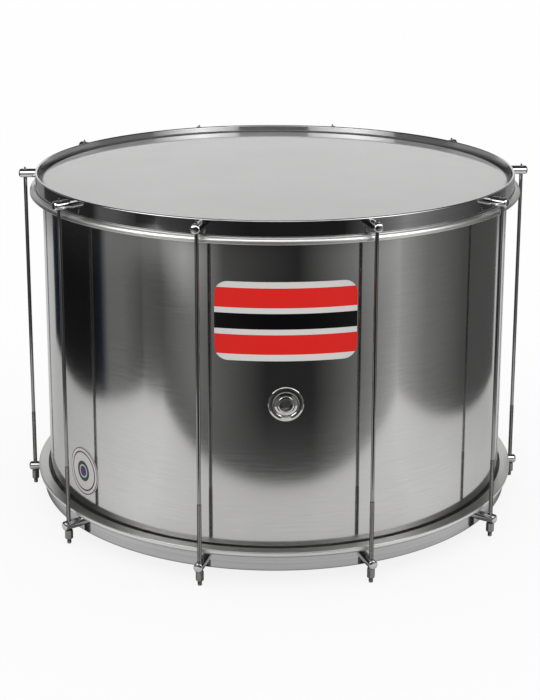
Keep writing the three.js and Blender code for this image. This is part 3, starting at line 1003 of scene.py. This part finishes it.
rod_points = rod_grid()
for place in range(ROD_COUNT):
    spot = turned_to(rod_points, rod_angle(place))
    rod = woven(f"rod_{place + 1:02d}", spot)
    dress(rod, rod_finish, "top_hoop_and_rods", "rod_steel", f"tension_rod_{place + 1:02d}")

# %% [markdown]
# The nuts are long hexagons whose corners are turned off at both ends. Cutting a cone from a
# prism needs a boolean. Taking the smaller of the hexagon's radius and the cone's radius at
# each grid point gives the same curved chamfers at once.

# %% Nuts
nut_low, nut_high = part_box("rod_nut_01")
NUT_FLAT = 4 * MM
NUT_SIDES = 6
NUT_CHAMFER = 1 * MM
NUT_COLUMNS = 72
BORE_BREAK = 0.3 * MM


def nut_grid():
    """Closed rows: up the outside, across the top, down the bore. Outside radius is the smaller
    of flat / cos(angle from the nearest flat) and the chamfer cone's radius at that height."""
    low, high = nut_low.z, nut_high.z
    corner = NUT_FLAT / np.cos(np.pi / NUT_SIDES)
    fine = np.linspace(0, NUT_CHAMFER, 5)
    heights = np.concatenate([low + fine, high - fine[::-1]])
    angle = even_angles(NUT_COLUMNS)
    sector = FULL_TURN / NUT_SIDES
    from_flat = (angle + sector / 2) % sector - sector / 2
    hexagon = NUT_FLAT / np.cos(from_flat)
    rise = np.minimum(heights - low, high - heights)[:, None]
    cone = NUT_FLAT - NUT_CHAMFER / 2 + rise * (corner - NUT_FLAT + NUT_CHAMFER) / NUT_CHAMFER
    outside = np.minimum(hexagon, cone)
    bore = THREAD_RADIUS + SEAT_GAP
    inner = np.full((4, NUT_COLUMNS), bore)
    inner[[0, 3]] += BORE_BREAK
    inner_z = np.array([high, high - BORE_BREAK, low + BORE_BREAK, low])
    r = np.concatenate([outside, inner])
    z = np.concatenate([heights, inner_z])[:, None] + 0 * angle
    return np.stack([r * np.sin(angle), -ROD_CIRCLE - r * np.cos(angle), z], -1)


nut_points = nut_grid()
for place in range(ROD_COUNT):
    spot = turned_to(nut_points, rod_angle(place))
    number = f"{place + 1:02d}"
    nut = woven(f"nut_hexagon_{number}", spot, closed=True)
    dress(nut, nut_finish, f"nut_{number}", "nut_steel", f"rod_nut_{number}")

# %% [markdown]
# ## Vent eyelet
# The vent is a pressed eyelet: a domed flange, a dished ring and a raised collar round the hole.
# Its tube goes through the shell and is flared over a back ring inside. Both are turned round
# the vent's own axis.

# %% Eyelet and back ring
VENT_COLUMNS = 96
EYELET_OUTLINE_MM = [
    (19, 0), (19, 0.6), (18.6, 0.95), (16.9, 1.45), (14.1, 1.85), (13.2, 0.85), (12.4, 0.8), (9.8, 1.95),
    (9.2, 1.4), (8.7, 1.95), (7.5, 2.5), (6.6, 2.5), (5.65, 0.3),
]
EYELET_ROUNDS_MM = [0.1, 0.2, 0.3, 3.0, 0.7, 0.4, 0.3, 0.5, 0.3, 0.2, 0.3, 0.3, 0.3]
BACK_RING_RADIUS = 14 * MM
BACK_RING_THICK = 1.2 * MM
FLARE_RADIUS = 9 * MM
FLARE_THICK = 0.8 * MM
TUBE_WALL = 1.15 * MM
VENT_BORE = 5.65 * MM


def eyelet_profile():
    """The pressed front, the tube and the flare behind the back ring, as one closed outline."""
    seat = SHELL_RADIUS * FACET + SEAT_GAP
    back = (SHELL_RADIUS - SHELL_WALL) * FACET - 2 * SEAT_GAP - BACK_RING_THICK
    front = [(r * MM, seat + h * MM) for r, h in EYELET_OUTLINE_MM]
    rest = [
        (VENT_BORE, back - FLARE_THICK), (FLARE_RADIUS, back - FLARE_THICK), (FLARE_RADIUS, back),
        (VENT_BORE + TUBE_WALL, back), (VENT_BORE + TUBE_WALL, seat),
    ]
    rounds = [r * MM for r in EYELET_ROUNDS_MM] + [0.3 * MM, 0.3 * MM, 0.2 * MM, 0, 0]
    return rounded(front + rest, rounds, steps=6)


def back_ring_profile():
    """A plain washer with broken edges."""
    front = (SHELL_RADIUS - SHELL_WALL) * FACET - SEAT_GAP
    back = front - BACK_RING_THICK
    bore = VENT_BORE + TUBE_WALL + SEAT_GAP
    corners = [(bore, front), (BACK_RING_RADIUS, front), (BACK_RING_RADIUS, back), (bore, back)]
    return rounded(corners, [0.2 * MM] * 4, steps=4)


eyelet = woven("vent_flange", radial_grid(eyelet_profile(), VENT_COLUMNS, VENT_LEVEL), closed=True)
dress(eyelet, eyelet_finish, "shell", "eyelet_metal", "vent_eyelet")
back_ring = woven("vent_washer", radial_grid(back_ring_profile(), VENT_COLUMNS, VENT_LEVEL), closed=True)
dress(back_ring, eyelet_finish, "shell", "eyelet_metal", "vent_back_ring")

# %% [markdown]
# ## Labels
# The badge and the seal are thin printed skins that follow the shell's curve. Each is a fan of
# rings from its centre to its outline, laid on the cylinder front and back, with a closed edge.

# %% Labels on the shell
LABEL_FRONT = 0.45 * MM
LABEL_BACK = 0.05 * MM
LABEL_COLUMNS = 144
LABEL_RINGS = 24
LABEL_FIRST_SHARE = 0.02
BADGE_CORNER = 14 * MM


def label_grid(outline, level):
    """Rings from the back's centre to the edge and over to the front's centre. A ring is the
    outline times a share, and each point's angle round the drum is asin(across / radius)."""
    back_shares = np.linspace(LABEL_FIRST_SHARE, 1, LABEL_RINGS)
    shares = np.concatenate([back_shares, back_shares[::-1]])[:, None]
    radius = np.full_like(shares, SHELL_RADIUS + LABEL_BACK)
    radius[LABEL_RINGS:] = SHELL_RADIUS + LABEL_FRONT
    across, rise = shares * outline[:, 0], shares * outline[:, 1]
    angle = np.arcsin(across / SHELL_RADIUS)
    return np.stack([radius * np.sin(angle), -radius * np.cos(angle), level + rise], -1)


def rounded_box(width, height, corner):
    """Points at even steps of length along the outline of a box with round corners."""
    w, h = width / 2, height / 2
    coarse = rounded([[-w, -h], [w, -h], [w, h], [-w, h]], [corner] * 4, steps=12)
    loop = np.concatenate([coarse, coarse[:1]])
    length = np.append(0, np.cumsum(np.linalg.norm(np.diff(loop, axis=0), axis=1)))
    along = np.arange(LABEL_COLUMNS) / LABEL_COLUMNS * length[-1]
    return np.stack([np.interp(along, length, loop[:, k]) for k in (0, 1)], -1)


badge_low, badge_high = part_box("front_badge")
badge_level = (badge_low.z + badge_high.z) / 2
badge_outline = rounded_box(badge_high.x - badge_low.x, badge_high.z - badge_low.z, BADGE_CORNER)
badge = woven("striped_badge", label_grid(badge_outline, badge_level))
dress(badge, striped_print(badge_low.z, badge_high.z), "shell", "badge_print", "front_badge")

SEAL_ANGLE = np.radians(-54)
seal_low, seal_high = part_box("round_seal")
seal_level = (seal_low.z + seal_high.z) / 2
seal_radius = (seal_high.z - seal_low.z) / 2
seal_steps = even_angles(LABEL_COLUMNS)
seal_outline = seal_radius * np.stack([np.cos(seal_steps), np.sin(seal_steps)], -1)
seal_grid = turned_to(label_grid(seal_outline, seal_level), SEAL_ANGLE)
seal_centre = turned_to(np.array([[0, -SHELL_RADIUS, seal_level]]), SEAL_ANGLE)[0]
seal = woven("ringed_seal", seal_grid)
dress(seal, ringed_print(seal_centre, seal_radius), "shell", "seal_print", "round_seal")

# %% [markdown]
# ## Floor and light
# The drum stands on a white floor in plain even light. A backdrop could be lit until it clips,
# but that would also bleach the drum. Here the floor's own white is mixed in for the rays that
# see it straight, so it looks clean and still keeps a soft shadow. For the rays that see it in a
# reflection, painted light is mixed in instead: a pale pool with a painted shadow under the drum.

# %% Floor and world
FLOOR_RADIUS = 30.0
FLOOR_COLOUR = (0.95, 0.95, 0.95)
FLOOR_WHITE_SHARE = 0.85
FLOOR_REACH = 4.0
FLOOR_STEPS = 64


def put_stage(name, points, faces, material):
    """A stage mesh from points and faces, with its material."""
    mesh = bpy.data.meshes.new(name)
    mesh.from_pydata(points.tolist(), [], faces.tolist())
    piece = bpy.data.objects.new(name, mesh)
    bpy.context.scene.collection.objects.link(piece)
    mesh.materials.append(material)
    return piece


# painted light for reflections of the floor: a painted shadow under the drum, a pale pool round it, dimmer
# beyond
painted_floor_light_and_shadow = [(0.0, 0.1), (0.074, 0.1), (0.0785, 0.8), (0.10, 1.0), (0.34, 1.0), (0.42, 0.3), (1.0, 0.3)]
# painted falloff of that light by direction: dimmer towards the back
painted_floor_falloff = [(0.0, 0.6), (0.4, 0.6), (0.85, 1.0), (1.0, 0.8)]


def floor_finish():
    """Matt white that holds a shadow, mixed with its own white where it is seen. Metal mirrors a
    painted pool of light instead, with a painted shadow under the drum, by distance from the
    middle, and a painted falloff, dimmer towards the back."""
    material, tree, shader = new_finish("pale_floor", FLOOR_COLOUR, 0.0, 1.0)
    shader.inputs["Specular IOR Level"].default_value = 0
    path = tree.nodes.new("ShaderNodeLightPath").outputs
    seen = path["Is Camera Ray"]
    for kind in ("Is Glossy Ray", "Is Transmission Ray"):
        seen = number_node(tree, "MAXIMUM", seen, path[kind])
    part = number_node(tree, "MULTIPLY", seen, FLOOR_WHITE_SHARE)
    place = object_place(tree)
    reach = spread(tree, vector_node(tree, "LENGTH", place), 0, 1, 0, FLOOR_REACH)
    facing = one_axis(tree, vector_node(tree, "NORMALIZE", place), "Y")
    side = tone_ramp(tree, spread(tree, facing, 0, 1, 1, -1), painted_floor_falloff)
    pool = blend(tree, 1.0, tone_ramp(tree, reach, painted_floor_light_and_shadow), side, "MULTIPLY")
    colour = blend(tree, path["Is Glossy Ray"], (1, 1, 1), pool)
    white = add_node(tree, "ShaderNodeEmission", Strength=1.0)
    tree.links.new(colour, white.inputs["Color"])
    mix = tree.nodes.new("ShaderNodeMixShader")
    tree.links.new(part, mix.inputs[0])
    tree.links.new(shader.outputs["BSDF"], mix.inputs[1])
    tree.links.new(white.outputs["Emission"], mix.inputs[2])
    tree.links.new(mix.outputs["Shader"], tree.nodes["Material Output"].inputs["Surface"])
    return material


floor_steps = np.linspace(0, FULL_TURN, FLOOR_STEPS, endpoint=False)
floor_points = FLOOR_RADIUS * np.stack([np.sin(floor_steps), -np.cos(floor_steps), 0 * floor_steps], -1)
put_stage("floor", floor_points, np.arange(FLOOR_STEPS)[None], floor_finish())

world = bpy.data.worlds.new("plain_white")
world.use_nodes = True
world.node_tree.nodes["Background"].inputs["Color"].default_value = (1, 1, 1, 1)
world.node_tree.nodes["Background"].inputs["Strength"].default_value = 1.0
bpy.context.scene.world = world
bpy.context.scene.view_settings.view_transform = "Standard"

# %% [markdown]
# ## Cards for the metal
# Polished metal shows the room, not itself, and a plain white room would leave the drum pale and
# shapeless. A photographer hangs dark cards round such a subject and leaves gaps for light. They
# could be real boards, but here only reflections see them, so every view stays clear.

# %% A card that only reflections see
LINE_BLUR = 0.01


def card_finish(name, levels, over=None):
    """Its own light: each level is a height share and the tones along the card there. over
    gives a line of height shares along the card and the tones above that line."""
    material = bpy.data.materials.new(name)
    material.use_nodes = True
    tree = material.node_tree
    tree.nodes.clear()
    across = one_axis(tree, map_place(tree), "X")
    up = one_axis(tree, map_place(tree), "Y")
    colour = tone_ramp(tree, across, levels[0][1])
    for (low, _), (high, tones) in zip(levels[:-1], levels[1:]):
        colour = blend(tree, spread(tree, up, 0, 1, low, high), colour, tone_ramp(tree, across, tones))
    if over:
        line, tones = over
        above = number_node(tree, "SUBTRACT", up, tone_ramp(tree, across, line))
        share = spread(tree, above, 0, 1, -LINE_BLUR, LINE_BLUR)
        colour = blend(tree, share, colour, tone_ramp(tree, across, tones))
    light = tree.nodes.new("ShaderNodeEmission")
    output = tree.nodes.new("ShaderNodeOutputMaterial")
    tree.links.new(colour, light.inputs["Color"])
    tree.links.new(light.outputs["Emission"], output.inputs["Surface"])
    return material


def mirror_only(piece):
    """Only reflections see the piece: the camera, plain surfaces and shadows don't."""
    piece.visible_camera = False
    piece.visible_diffuse = False
    piece.visible_shadow = False
    piece.visible_transmission = False


def card(name, line, low, high, levels, over=None):
    """An upright card over a line of floor points. Its map runs along it and up it."""
    line = np.asarray(line, float)
    count = len(line)
    points = np.concatenate([np.c_[line, np.full(count, low)], np.c_[line, np.full(count, high)]])
    j = np.arange(count - 1)
    faces = np.stack([j, j + 1, j + 1 + count, j + count], -1)
    piece = put_stage(name, points, faces, card_finish(name + "_tones", levels, over))
    shares = np.stack([faces % count / (count - 1), faces // count], -1)
    layer = piece.data.uv_layers.new(name="around")
    layer.uv.foreach_set("vector", shares.astype(np.float32).ravel())
    mirror_only(piece)


def along(tones, start, end):
    """Tones at places, as shares of the way from start to end."""
    return [((place - start) / (end - start), tone) for place, tone in tones]


# %% [markdown]
# ### The table's edge
# The floor's light in the lower half of the shell ends where the photographer's table ended. Four
# low cards stand there, darkest straight in front, where the camera was, and paler to the sides.
# Each carries a few broad panels only, with round numbers: pale, grey, navy and nearly black.

# %% Low cards
FRONT_LINE = -0.535
LEFT_LINE = -0.69
RIGHT_LINE = 0.61
CORNER_X = -0.60
CORNER_Y = -0.445
LEFT_END = 0.45
RIGHT_END = 0.27
CARD_HEIGHT = 0.45
FOOT_SHARE = 0.0
LOW_SHARES = (0.22, 0.40)
HIGH_SHARE = 0.62
NAVY = (0.014, 0.019, 0.036)
front_foot = [(-0.60, 0.15), (0.10, 0.1), (0.61, 0.6)]
front_low = [(-0.60, 0.1), (-0.35, 0.25), (-0.20, 0.15), (-0.05, 0.03), (0.10, 0.03), (0.61, 0.55)]
front_high = [(-0.60, 0.6), (-0.40, 0.75), (-0.20, 0.1), (0.05, 0.03), (0.61, 0.7)]
left_low = [
    (-0.445, 0.1), (-0.30, 0.2), (-0.20, 0.2), (-0.15, NAVY), (-0.10, 0.01), (0.20, 0.01), (0.45, NAVY),
]
left_high = [(-0.445, 0.5), (-0.30, 0.3), (-0.20, 0.3), (-0.15, 0.03), (0.45, 0.03)]
right_low = [(-0.535, 0.5), (-0.35, 0.25), (-0.10, 0.1), (0.27, 0.1)]

# %% [markdown]
# The counter hoop's band sits above the shell, so it mirrors a strip higher up on the same cards.
# A curved line on each card divides the two, and above it the cards are nearly black in front
# and grey to the right.

# %% What the band mirrors
front_line = [(-0.60, 0.26), (-0.47, 0.268), (-0.22, 0.304), (0.09, 0.315), (0.26, 0.299), (0.61, 0.245)]
front_rim = [(-0.60, 0.1), (-0.30, 0.05), (-0.10, 0.02), (0.20, 0.02), (0.61, 0.4)]
left_line = [(-0.445, 0.242), (-0.39, 0.244), (-0.16, 0.262), (0.06, 0.261), (0.335, 0.237), (0.45, 0.22)]
left_rim = [(-0.445, 0.05), (-0.30, 0.15), (-0.20, 0.15), (-0.15, 0.03), (0.45, 0.05)]
right_line = [(-0.535, 0.25), (-0.32, 0.269), (-0.125, 0.281), (0.07, 0.278), (0.27, 0.25)]
right_rim = [(-0.535, 0.4), (-0.30, 0.2), (0.0, 0.05), (0.27, 0.2)]


def low_card(name, ends, places, foot, low, high, line, rim):
    """A low card: tones at its foot, at mid height and near the top, and over a curved line."""
    start, end = places
    levels = [(FOOT_SHARE, foot), (LOW_SHARES[0], low), (LOW_SHARES[1], low), (HIGH_SHARE, high)]
    rows = [(share, along(tones, start, end)) for share, tones in levels]
    shares = [(share, rise / CARD_HEIGHT) for share, rise in along(line, start, end)]
    card(name, ends, 0, CARD_HEIGHT, rows, (shares, along(rim, start, end)))


low_card("front_card", [(CORNER_X, FRONT_LINE), (RIGHT_LINE, FRONT_LINE)], (CORNER_X, RIGHT_LINE),
         front_foot, front_low, front_high, front_line, front_rim)
low_card("left_card", [(LEFT_LINE, CORNER_Y), (LEFT_LINE, LEFT_END)], (CORNER_Y, LEFT_END),
         left_low, left_low, left_high, left_line, left_rim)
low_card("corner_card", [(LEFT_LINE, CORNER_Y), (CORNER_X, FRONT_LINE)], (0, 1),
         [(0, 0.17), (1, 0.17)], [(0, 0.14), (1, 0.11)], [(0, 0.5), (1, 0.5)],
         [(0, 0.242), (1, 0.26)], [(0, 0.03), (1, 0.04)])
low_card("right_card", [(RIGHT_LINE, FRONT_LINE), (RIGHT_LINE, RIGHT_END)], (FRONT_LINE, RIGHT_END),
         right_low, right_low, right_low, right_line, right_rim)

# %% [markdown]
# ### The room beyond
# Over the low cards the metal sees the room: two softboxes on the front corners, left and right
# of the camera, a third above it, a bright backdrop behind, grey sides and a black ceiling. A
# round curtain with tones by compass direction makes the room, and a disc closes it.

# %% Softboxes
SOFTBOX_LOW = 0.47
SOFTBOX_HIGH = 1.0
left_box = [(-0.92, -0.22), (-0.30, -0.70)]
right_box = [(0.26, -0.72), (0.86, -0.26)]
left_glow = [(0.0, 1.0), (0.5, 4.0), (1.0, 1.5)]
right_glow = [(0.0, 1.5), (0.4, 4.0), (1.0, 0.5)]
for side, line, tones in (("left", left_box, left_glow), ("right", right_box, right_glow)):
    card(f"{side}_softbox", line, SOFTBOX_LOW, SOFTBOX_HIGH, [(0.0, tones)])

top_box = [(-0.55, -0.85), (0.5, -0.85)]
card("top_softbox", top_box, 0.75, 1.6, [(0.0, [(0.0, 2.6), (1.0, 2.2)])])

# %% Curtain and ceiling
CURTAIN_RADIUS = 3.0
CURTAIN_HEIGHT = 3.0
CURTAIN_STEPS = 72
room_tones = [
    (-180, 1.0), (-158, 1.0), (-152, 0.5), (-114, 0.5), (-104, 0.05), (20, 0.05), (60, 0.2), (100, 0.1),
    (108, 0.5), (152, 0.5), (158, 1.0), (180, 1.0),
]
ceiling_tones = [(-180, 0.05), (180, 0.05)]
curtain_angle = np.linspace(-np.pi, np.pi, CURTAIN_STEPS + 1)
curtain_line = CURTAIN_RADIUS * np.stack([np.sin(curtain_angle), -np.cos(curtain_angle)], -1)
card("curtain", curtain_line, 0, CURTAIN_HEIGHT, [
    (0.0, along(room_tones, -180, 180)), (0.45, along(room_tones, -180, 180)),
    (0.60, along(ceiling_tones, -180, 180)),
])
ceiling_points = np.c_[curtain_line[:-1], np.full(CURTAIN_STEPS, CURTAIN_HEIGHT)]
ceiling = put_stage("ceiling", ceiling_points, np.arange(CURTAIN_STEPS)[None],
                    card_finish("ceiling_tones", [(0.0, along(ceiling_tones, -180, 180))]))
mirror_only(ceiling)
